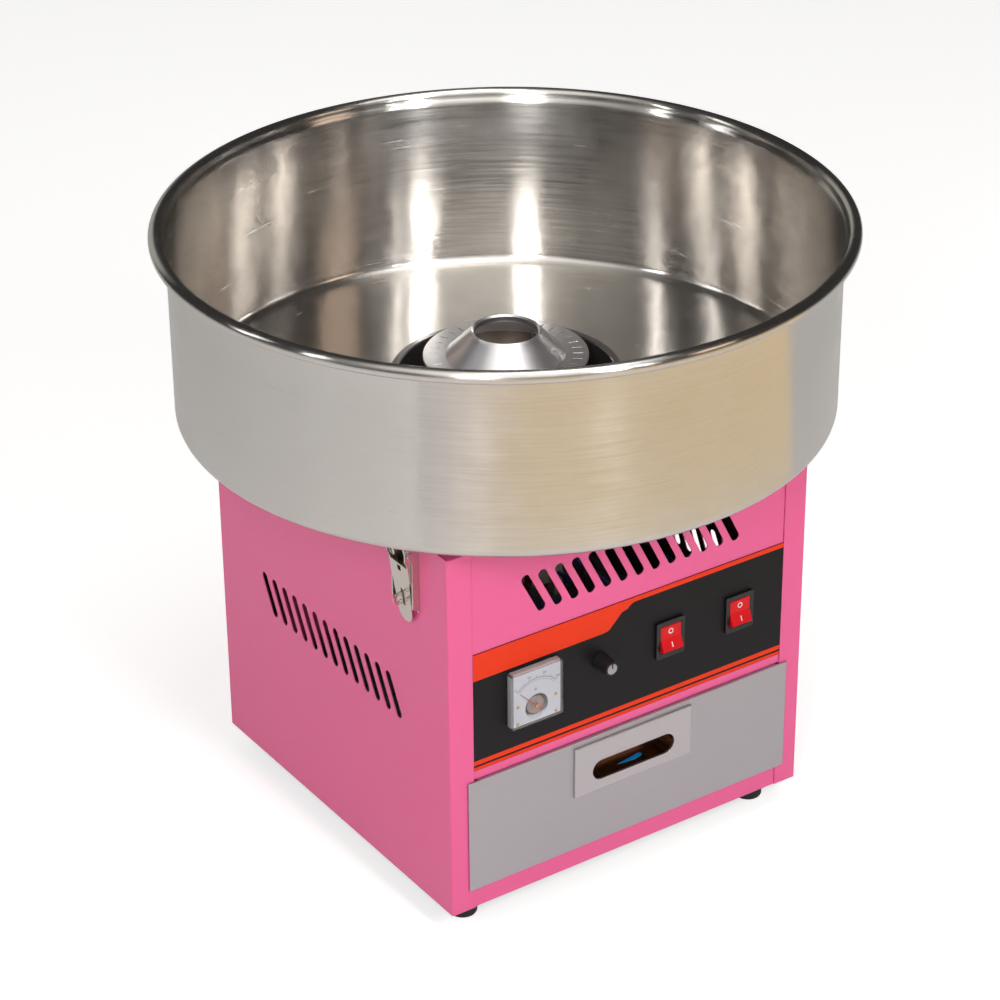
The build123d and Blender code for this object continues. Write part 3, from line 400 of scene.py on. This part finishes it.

# The lid is painted too. Its middle under the bowl's hole is painted near black as painted shade for the dark
# gap round the bowl's collar.
deck_paint = finish("deck_paint", (228, 88, 144), 0.34, patch=0.1, tone=0.05, grain=0.002)
gap_shade_radius, gap_shade_edge, gap_shade_colour = 0.093, 0.0006, (24, 22, 22)
deck_tree = deck_paint.node_tree
deck_place = node(deck_tree, "SeparateXYZ", Vector=node(deck_tree, "TexCoord").outputs["Object"])
deck_flat = node(deck_tree, "CombineXYZ", X=deck_place.outputs["X"], Y=deck_place.outputs["Y"])
from_axis = node(deck_tree, "VectorMath", "LENGTH", in0=deck_flat.outputs[0]).outputs["Value"]
in_gap_shade = ramp(deck_tree, from_axis, gap_shade_radius + gap_shade_edge, gap_shade_radius)
change_where(deck_paint, in_gap_shade, gap_shade_colour, 0.7)
dress(deck_paint, "top_deck")


# ---------------------------------------------------------------- feet and pads
# Moulded rubber feet screwed under the bottom pan, and the pads that the bowl stands on.
foot_rubber = finish("foot_rubber", (24, 24, 25), 0.62, patch=0.02, tone=0.3, grain=0.0008,
                     grain_depth=0.00005, wear=0.4, worn=(70, 69, 68))
dress(foot_rubber, "rubber_feet", "bowl_pads")


# ---------------------------------------------------------------- screws
# Zinc plated pan head screws of the case, and the stainless ones of the head.
screw_steel = finish("screw_steel", (176, 174, 170), 0.3, metallic=1.0, patch=0.004, tone=0.2,
                     grain=0.0004, grain_depth=0.00001, edge=0.0003)
dress(screw_steel, "case_screws", "head_screws")


# ---------------------------------------------------------------- control plate
# Black printed plate with an orange heading band that steps down to a line on the right, and two
# orange lines along its foot. The bands are screen print, so they stand a hair above the plate.
control_print = finish("control_print", (22, 20, 23), 0.5, patch=0.05, tone=0.25, grain=0.0012,
                       wear=0.1, edge=0.0003, Specular_IOR_Level=0.2)
dress(control_print, "control_plate")
MM = 0.001


def arc(x, z, radius, start, end, count=24):
    """Points along an arc that faces the front, in mm and degrees from +X."""
    angles = [math.radians(start + (end - start) * i / count) for i in range(count + 1)]
    return [(x + radius * math.cos(a), z + radius * math.sin(a)) for a in angles]


def stripe(x, z, outer, inner, start, end, count=24):
    """Outline of a curved stripe."""
    return arc(x, z, outer, start, end, count) + arc(x, z, inner, end, start, count)


def oblong(x0, x1, z0, z1):
    """Outline of an upright rectangle."""
    return [(x0, z0), (x1, z0), (x1, z1), (x0, z1)]


def keep(name, mesh, material, body, crease=None):
    """Finished piece from a bmesh: its material, body and slot; crease is the sharpest smooth angle."""
    bmesh.ops.recalc_face_normals(mesh, faces=mesh.faces)
    data = bpy.data.meshes.new(name)
    mesh.to_mesh(data)
    mesh.free()
    if crease:
        data.polygons.foreach_set("use_smooth", [True] * len(data.polygons))
        data.set_sharp_from_angle(angle=math.radians(crease))
    data.materials.append(material)
    piece = bpy.data.objects.new(name, data)
    scene.collection.objects.link(piece)
    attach(piece, body)
    return piece


def add_plate(mesh, outline, front, back):
    """Plate with an (x, z) outline in mm, between two depths along Y in mm."""
    near = [mesh.verts.new((x * MM, front * MM, z * MM)) for x, z in outline]
    far = [mesh.verts.new((x * MM, back * MM, z * MM)) for x, z in outline]
    mesh.faces.new(near)
    mesh.faces.new(list(reversed(far)))
    for i in range(len(outline)):
        j = (i + 1) % len(outline)
        mesh.faces.new((near[j], near[i], far[i], far[j]))


PRINT = 0.05                                    # thickness of screen print, mm


def printed(name, outlines, face, material, body, place=None):
    """Print on a face that looks to the front; face is its depth along Y in mm."""
    mesh = bmesh.new()
    for outline in outlines:
        add_plate(mesh, outline, face - PRINT, face + PRINT)
    if place:
        mesh.transform(place)
    return keep(name, mesh, material, body)


plate_low, plate_high = (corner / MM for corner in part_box("control_plate"))
left, right, top = plate_low.x + 0.1, plate_high.x - 0.1, plate_high.z - 0.1
heading_foot, line_foot = 216.0, 234.2
heading = [(left, heading_foot), (-27, heading_foot + 0.6)] + arc(-24, 222.5, 5.5, -80, -35, 6)
heading += [(-9.5, 229.2)] + arc(3.5, 224.2, 10.0, 143, 95, 8)
heading += [(right, line_foot), (right, top), (left, top)]
foot_lines = [oblong(left, right, 144.6, 148.3), oblong(left, right, 140.2, 142.9)]
orange_ink = finish("orange_ink", (236, 56, 18), 0.5, patch=0.03, tone=0.1, grain=0.001, wear=0.1,
                    edge=0.0001, Specular_IOR_Level=0.2)
printed("heading_band", [heading], plate_low.y, orange_ink, "cabinet")
printed("foot_lines", foot_lines, plate_low.y, orange_ink, "cabinet")


# ---------------------------------------------------------------- cord gland
# Nylon gland that grips the mains cord in the rear cover.
gland_plastic = finish("gland_plastic", (34, 34, 36), 0.45, patch=0.01, tone=0.2, grain=0.0006)
dress(gland_plastic, "cord_gland")


# ---------------------------------------------------------------- meter
# Moving coil panel meter: pale moulded case, white dial plate printed with a scale, works behind an
# arched window, a thin needle with a brass hub, brass screws, and a clear square cover.
meter_body = finish("meter_body", (226, 224, 224), 0.4, patch=0.01, tone=0.1, grain=0.0006)
dress(meter_body, "meter_case")
meter_works = finish("meter_works", (184, 160, 150), 0.5, patch=0.004, tone=0.8, grain=0.0006)
dress(meter_works, "meter_movement")
dial_white = finish("dial_white", (238, 240, 248), 0.42, patch=0.02, tone=0.04, grain=0.0008)
dress(dial_white, "meter_dial")
needle_red = finish("needle_red", (206, 96, 110), 0.4, patch=0.004, tone=0.15, grain=0.0006)
dress(needle_red, "meter_needle")
meter_clear = finish("meter_clear", (250, 251, 252), 0.03, patch=0.03, tone=0.01, grain=0.004,
                     grain_depth=0.000002, spread=0.02, wear=0.1, edge=0.0006, Transmission_Weight=1.0,
                     IOR=1.46)
dress(meter_clear, "meter_window")

joint_place = {joint["name"]: Vector(joint["pos_m"]) / MM for joint in frame["joints"] if "pos_m" in joint}
pivot = joint_place["needle_swing"]
dial_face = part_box("meter_dial")[0].y / MM
scale_radius, scale_start, scale_sweep, scale_steps = 23.4, 135.0, -90.0, 6
scale_ink = finish("scale_ink", (120, 122, 132), 0.5, patch=0.01, tone=0.1, grain=0.0008)


def spoke(angle, inner, outer, width):
    """Outline of a short radial line of the scale."""
    a = math.radians(angle)
    along, across = Vector((math.cos(a), math.sin(a))), Vector((-math.sin(a), math.cos(a))) * width / 2
    hub = Vector((pivot.x, pivot.z))
    ends = (hub + along * inner - across, hub + along * outer - across,
            hub + along * outer + across, hub + along * inner + across)
    return [tuple(end) for end in ends]


scale_end = scale_start + scale_sweep
scale = [stripe(pivot.x, pivot.z, scale_radius + 0.15, scale_radius - 0.15, scale_start, scale_end),
         stripe(pivot.x, pivot.z, scale_radius - 1.5, scale_radius - 1.7, scale_start, scale_end)]
for i in range(scale_steps * 5 + 1):
    angle = scale_start + scale_sweep * i / (scale_steps * 5)
    long_line = i % 5 == 0
    line_length, line_width = (2.2, 0.34) if long_line else (1.2, 0.2)
    scale.append(spoke(angle, scale_radius, scale_radius + line_length, line_width))
ring_x, ring_z, ring_outer, ring_inner = pivot.x - 1.0, pivot.z + 14.5, 1.0, 0.55
scale.append(stripe(ring_x, ring_z, ring_outer, ring_inner, 0, 180))
scale.append(stripe(ring_x, ring_z, ring_outer, ring_inner, 180, 360))
printed("dial_scale", scale, dial_face, scale_ink, "cabinet")

number_height, number_radius = 2.4, scale_radius + 2.8
for i, number in enumerate(("0", "100", "200", "300")):
    a = math.radians(scale_start + scale_sweep * i / 3)
    text = bpy.data.curves.new("dial_number_" + number, "FONT")
    text.body, text.size, text.align_x = number, number_height * MM, "CENTER"
    text.extrude = PRINT * MM
    letters = bpy.data.objects.new("dial_number_" + number, text)
    letters.matrix_world = Matrix.Translation(Vector((
        (pivot.x + number_radius * math.cos(a)) * MM, dial_face * MM,
        (pivot.z + number_radius * math.sin(a)) * MM))) @ Matrix.Rotation(math.radians(90), 4, "X")
    scene.collection.objects.link(letters)
    figures = bpy.data.meshes.new_from_object(letters)
    figures.transform(letters.matrix_world)
    bpy.data.objects.remove(letters)
    figures.materials.clear()
    figures.materials.append(scale_ink)
    piece = bpy.data.objects.new("dial_number_" + number, figures)
    scene.collection.objects.link(piece)
    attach(piece, "cabinet")


def add_screw_head(mesh, x, z, face, radius, height, slot_angle=None, rings=8, turns=32):
    """Domed head on a face that looks to the front, with a straight slot if slot_angle is given."""
    def depth(r, a):
        dome = height * math.sqrt(max(0.0, 1 - (r / radius) ** 2 * 0.85))
        across = abs(r * math.sin(a - math.radians(slot_angle or 0)))
        return dome * 0.35 if slot_angle is not None and across < radius * 0.16 else dome
    middle = mesh.verts.new((x * MM, (face - depth(0, 0)) * MM, z * MM))
    previous = None
    for k in range(1, rings + 1):
        r = radius * k / rings
        circle = []
        for t in range(turns):
            a = 2 * math.pi * t / turns
            circle.append(mesh.verts.new(((x + r * math.cos(a)) * MM, (face - depth(r, a)) * MM,
                                          (z + r * math.sin(a)) * MM)))
        for t in range(turns):
            other = (t + 1) % turns
            if previous:
                mesh.faces.new((previous[t], circle[t], circle[other], previous[other]))
            else:
                mesh.faces.new((middle, circle[t], circle[other]))
        previous = circle
    foot = [mesh.verts.new((v.co.x, (face + 0.1) * MM, v.co.z)) for v in previous]
    for t in range(turns):
        other = (t + 1) % turns
        mesh.faces.new((previous[t], foot[t], foot[other], previous[other]))
    mesh.faces.new(foot)


brass = finish("brass", (222, 178, 92), 0.3, metallic=1.0, patch=0.004, tone=0.2, grain=0.0005)
screw_radius, screw_height, hub_radius, hub_height = 1.35, 0.7, 1.7, 0.12
screw_places = [(-16.6, -5.2, 20), (16.6, -5.2, 75), (-17.0, -19.6, 140), (17.0, -19.6, 50)]
dial_screws = bmesh.new()
meter_middle = sum(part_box("meter_dial"), Vector()) / 2 / MM
for dx, dz, slot_angle in screw_places:
    add_screw_head(dial_screws, meter_middle.x + dx, meter_middle.z + dz, dial_face, screw_radius,
                   screw_height, slot_angle)
keep("dial_screws", dial_screws, brass, "cabinet", crease=30)
hub = bmesh.new()
hub_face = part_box("meter_needle")[0].y / MM
add_screw_head(hub, pivot.x, pivot.z, hub_face, hub_radius, hub_height, 30)
keep("needle_hub", hub, brass, "meter_needle", crease=30)


# ---------------------------------------------------------------- switches
# Two rocker switches: black bezels and bodies, red rockers with a ring mark and a bar mark. The
# rocker's two faces meet in a shallow V, and at rest its upper face stands upright.
switch_black = finish("switch_black", (17, 16, 17), 0.3, patch=0.008, tone=0.2, grain=0.0005)
dress(switch_black, "switch_housing_heat", "switch_housing_motor")
rocker_red = finish("rocker_red", (216, 14, 26), 0.4, patch=0.008, tone=0.12, grain=0.0008,
                    worn=(236, 90, 84), wear=0.35, Specular_IOR_Level=0.25)
dress(rocker_red, "rocker_heat", "rocker_motor")

mark_white = finish("mark_white", (244, 238, 234), 0.4, patch=0.01, tone=0.05, grain=0.0006)
face_depth, face_tilt = 4.0, 12.0               # the V's middle ahead of the pivot, and each face's slope
ring_up, bar_down = 5.4, 5.6                    # distances of the marks from the V's middle
mark_outer, mark_inner, bar_half_w, bar_half_h = 2.3, 1.5, 0.45, 2.0
half_rings = [stripe(0, ring_up, mark_outer, mark_inner, 0, 180),
              stripe(0, ring_up, mark_outer, mark_inner, 180, 360)]
bar = [oblong(-bar_half_w, bar_half_w, -bar_down - bar_half_h, -bar_down + bar_half_h)]
marks = {"ring": (half_rings, face_tilt), "bar": (bar, -face_tilt)}
for name in ("heat", "motor"):
    pin = joint_place[f"rocker_{name}_tilt"]
    for mark, (outlines, slope) in marks.items():
        turned = (Matrix.Translation(pin * MM)
                  @ Matrix.Rotation(math.radians(-face_tilt), 4, "X")
                  @ Matrix.Translation((0, -face_depth * MM, 0))
                  @ Matrix.Rotation(math.radians(slope), 4, "X"))
        printed(f"{mark}_mark_{name}", outlines, 0.0, mark_white, f"rocker_{name}", turned)


# ---------------------------------------------------------------- regulator
# Potentiometer behind the plate and its fluted push-on knob, with a pale pressed cap in its end.
pot_metal = finish("pot_metal", (186, 180, 168), 0.35, metallic=1.0, patch=0.006, tone=0.15)
dress(pot_metal, "regulator_pot")
knob_black = finish("knob_black", (14, 14, 15), 0.6, patch=0.006, tone=0.2, grain=0.0005)
dress(knob_black, "regulator_knob")

knob_axis = joint_place["regulator_turn"]
cap_radius, cap_height, cap_recess = 4.2, 0.35, 0.5
knob_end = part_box("regulator_knob")[0].y / MM + cap_recess
cap_grey = finish("cap_grey", (168, 168, 174), 0.34, metallic=0.6, patch=0.004, tone=0.3, grain=0.0004,
                  brush=(0.0, (0.004, 0.02, 0.0004), 0.2, 0.00001))
cap = bmesh.new()
add_screw_head(cap, knob_axis.x, knob_axis.z, knob_end, cap_radius, cap_height)
keep("knob_cap", cap, cap_grey, "regulator_knob", crease=30)


# ---------------------------------------------------------------- drawer
# Stainless drawer: brushed front with a raised pull plate whose pocket is polished and painted a darker brown
# as painted shade in the recess, a folded tray, zinc plated runners. A shred of the sheet's blue protective
# film is left in the pocket.
drawer_steel = finish("drawer_steel", (187, 184, 189), 0.5, metallic=1.0, patch=0.05, tone=0.05, spread=0.05,
                      brush=(0.0, (0.06, 0.02, 0.0007), 0.06, 0.000012))
dress(drawer_steel, "drawer_front", "drawer_tray")
pull_steel = finish("pull_steel", (197, 193, 197), 0.42, metallic=1.0, patch=0.04, tone=0.06, spread=0.05,
                    brush=(0.0, (0.05, 0.02, 0.0006), 0.05, 0.00001), edge=0.0004)
pull_tree = pull_steel.node_tree
pull_depth = node(pull_tree, "SeparateXYZ", Vector=node(pull_tree, "TexCoord").outputs["Object"]).outputs["Y"]
pull_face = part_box("drawer_pull")[0].y
# The pocket's darker brown is painted shade in the recess; its lower roughness is the real polish.
pocket_starts, pocket_full, pocket_shade_colour = 0.0008, 0.003, (132, 108, 92)
in_pocket = ramp(pull_tree, pull_depth, pull_face + pocket_starts, pull_face + pocket_full)
change_where(pull_steel, in_pocket, pocket_shade_colour, 0.14)
dress(pull_steel, "drawer_pull")
runner_steel = finish("runner_steel", (170, 172, 170), 0.4, metallic=1.0, patch=0.03, tone=0.2)
dress(runner_steel, "drawer_runners")

film_blue = finish("film_blue", (10, 132, 202), 0.25, patch=0.003, tone=0.3, grain=0.0006)
pocket_middle, pocket_height = 102.0, 17.0
pocket_floor = pocket_middle - pocket_height / 2
film_outline = [(-9.0, -157.2), (-4.0, -156.6), (4.5, -155.2), (13.0, -153.8), (15.0, -155.0), (13.5, -157.4),
                (6.0, -159.2), (-2.0, -158.6)]
film = bmesh.new()
film_low = [film.verts.new((x * MM, y * MM, (pocket_floor + 0.05) * MM)) for x, y in film_outline]
film_high = [film.verts.new((x * MM, y * MM, (pocket_floor + 0.2 + 0.25 * (i % 2)) * MM))
             for i, (x, y) in enumerate(film_outline)]
film.faces.new(film_low)
film.faces.new(film_high)
for i in range(len(film_outline)):
    j = (i + 1) % len(film_outline)
    film.faces.new((film_low[i], film_low[j], film_high[j], film_high[i]))
keep("film_shred", film, film_blue, "drawer")


# ---------------------------------------------------------------- shaft, bearings and pulleys
# Turned steel shafts in ball bearings, a cast housing and bracket, and cast pulleys.
shaft_steel = finish("shaft_steel", (176, 176, 174), 0.25, metallic=1.0, patch=0.01, tone=0.1)
dress(shaft_steel, "drive_shaft", "motor_shaft", "bearing_outer_rings", "bearing_inner_rings")
cast_alloy = finish("cast_alloy", (160, 160, 158), 0.5, metallic=1.0, patch=0.01, tone=0.2, grain=0.0008,
                    grain_depth=0.00006)
dress(cast_alloy, "bearing_housing", "motor_bracket", "driven_pulley", "motor_pulley")
belt_rubber = finish("belt_rubber", (26, 26, 27), 0.7, patch=0.01, tone=0.3, grain=0.0007)
dress(belt_rubber, "drive_belt")


# ---------------------------------------------------------------- current to the heater
# Copper slip rings on a moulded sleeve, carbon brushes in their holder.
insulator = finish("insulator", (214, 206, 188), 0.5, patch=0.01, tone=0.12, grain=0.0006)
dress(insulator, "slip_ring_sleeve", "brush_holder", "terminal_block")
copper = finish("copper", (206, 128, 92), 0.28, metallic=1.0, patch=0.006, tone=0.25)
dress(copper, "slip_rings")
carbon = finish("carbon", (48, 48, 50), 0.55, patch=0.004, tone=0.3)
dress(carbon, "carbon_brushes")


# ---------------------------------------------------------------- motor and electrics
# Painted motor case, regulator board with its heat sink, and the wires between them.
motor_paint = finish("motor_paint", (70, 74, 80), 0.42, patch=0.02, tone=0.15, grain=0.001)
dress(motor_paint, "motor_case")
board_green = finish("board_green", (38, 92, 58), 0.4, patch=0.01, tone=0.2)
dress(board_green, "regulator_board")
wire_cover = finish("wire_cover", (52, 60, 120), 0.45, patch=0.01, tone=0.2)
dress(wire_cover, "wiring_loom")


# ---------------------------------------------------------------- spinning head
# Turned aluminium head: slotted flange and cone over a slotted band and a ring heater. Turning
# leaves fine rings all round it.
head_alloy = finish("head_alloy", (232, 230, 232), 0.34, metallic=1.0, patch=0.02, tone=0.1, spread=0.1,
                    brush=(1.0, (0.05, 0.0004, 0.0004), 0.12, 0.000006), edge=0.0006)
dress(head_alloy, "head_base", "head_cover")
heater_ribbon = finish("heater_ribbon", (120, 108, 98), 0.45, metallic=1.0, patch=0.006, tone=0.3)
dress(heater_ribbon, "heating_element", "head_band")


# ---------------------------------------------------------------- bowl
# Round stainless pan, spun from thin sheet: flat floor, rounded corner, upright wall and a flared
# top rolled round a bead. Brushing runs round it, and keepers for the latches sit below.
def lathe(mesh, outline, turns):
    """Turned shape about the upright axis; outline is a closed loop of (radius, height) in mm."""
    rings = []
    for k in range(turns):
        a = 2 * math.pi * k / turns
        along, across = math.cos(a) * MM, math.sin(a) * MM
        rings.append([mesh.verts.new((r * along, r * across, z * MM)) for r, z in outline])
    for k in range(turns):
        this, other = rings[k], rings[(k + 1) % turns]
        for i in range(len(outline)):
            j = (i + 1) % len(outline)
            mesh.faces.new((this[i], other[i], other[j], this[j]))


bowl_low, bowl_high = (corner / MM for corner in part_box("bowl_shell"))
bead_radius, sheet, corner_radius, hole_radius, flare_height = 5.0, 1.0, 8.0, 84.0, 5.5
bead_middle_r, bead_middle_z = bowl_high.x - bead_radius, bowl_high.z - bead_radius
bead_stand_out, bead_start, wall_step = 7.0, -152, 30
wall_radius, floor_low = bead_middle_r - bead_stand_out, bowl_low.z
inner_radius, bend_z = wall_radius - sheet, bead_middle_z - flare_height
corner_r, corner_z = wall_radius - corner_radius, floor_low + corner_radius
outline = [(hole_radius, floor_low)] + arc(corner_r, corner_z, corner_radius, -90, 0, 10)
outline += [(wall_radius, corner_z + wall_step), (wall_radius, bend_z - wall_step),
            (wall_radius, bend_z - 1), (wall_radius + 0.2, bend_z + 0.4)]
outline += arc(bead_middle_r, bead_middle_z, bead_radius, bead_start, 180, 30)
outline += [(bead_middle_r - bead_radius - 1.2, bead_middle_z - 2.2), (inner_radius + 0.5, bend_z + 1.4),
            (inner_radius, bend_z - 0.6), (inner_radius, bend_z - wall_step),
            (inner_radius, corner_z + wall_step)]
outline += arc(corner_r, corner_z, corner_radius - sheet, 0, -90, 10) + [(hole_radius, floor_low + sheet)]
bowl_steel = finish("bowl_steel", (204, 200, 195), 0.22, metallic=1.0, patch=0.032, tone=0.16, spread=0.1,
                    wave_depth=0.0004, brush=(1.0, (0.05, 0.0014, 0.0014), 0.2, 0.000006), edge=0.0004,
                    grain_depth=0.000001, Anisotropic=0.93, Anisotropic_Rotation=0.25)
bowl_tree = bowl_steel.node_tree
around = node(bowl_tree, "Tangent")
around.direction_type, around.axis = "RADIAL", "Z"
bowl_tree.links.new(around.outputs[0], bowl_tree.nodes["Principled BSDF"].inputs["Tangent"])
pan = bmesh.new()
lathe(pan, outline, 288)
pan = keep("bowl_pan", pan, bowl_steel, "bowl", crease=40)
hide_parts("bowl_shell")
dress(bowl_steel, "bowl_keepers")

# Moulded collar that grips the edge of the centre hole, gloss black.
collar_black = finish("collar_black", (66, 62, 60), 0.3, patch=0.02, tone=0.2, Coat_Weight=0.5)
dress(collar_black, "bowl_collar")


# ---------------------------------------------------------------- latches
# Nickel plated draw latches: channel base with a hasp eye, tapered lever and a wire bail.
latch_nickel = finish("latch_nickel", (206, 200, 192), 0.2, metallic=1.0, patch=0.01, tone=0.12, edge=0.0004,
                      wear=0.2)
dress(latch_nickel, "latch_bases", *[n for n in parts if n.startswith(("latch_lever", "latch_bail"))])
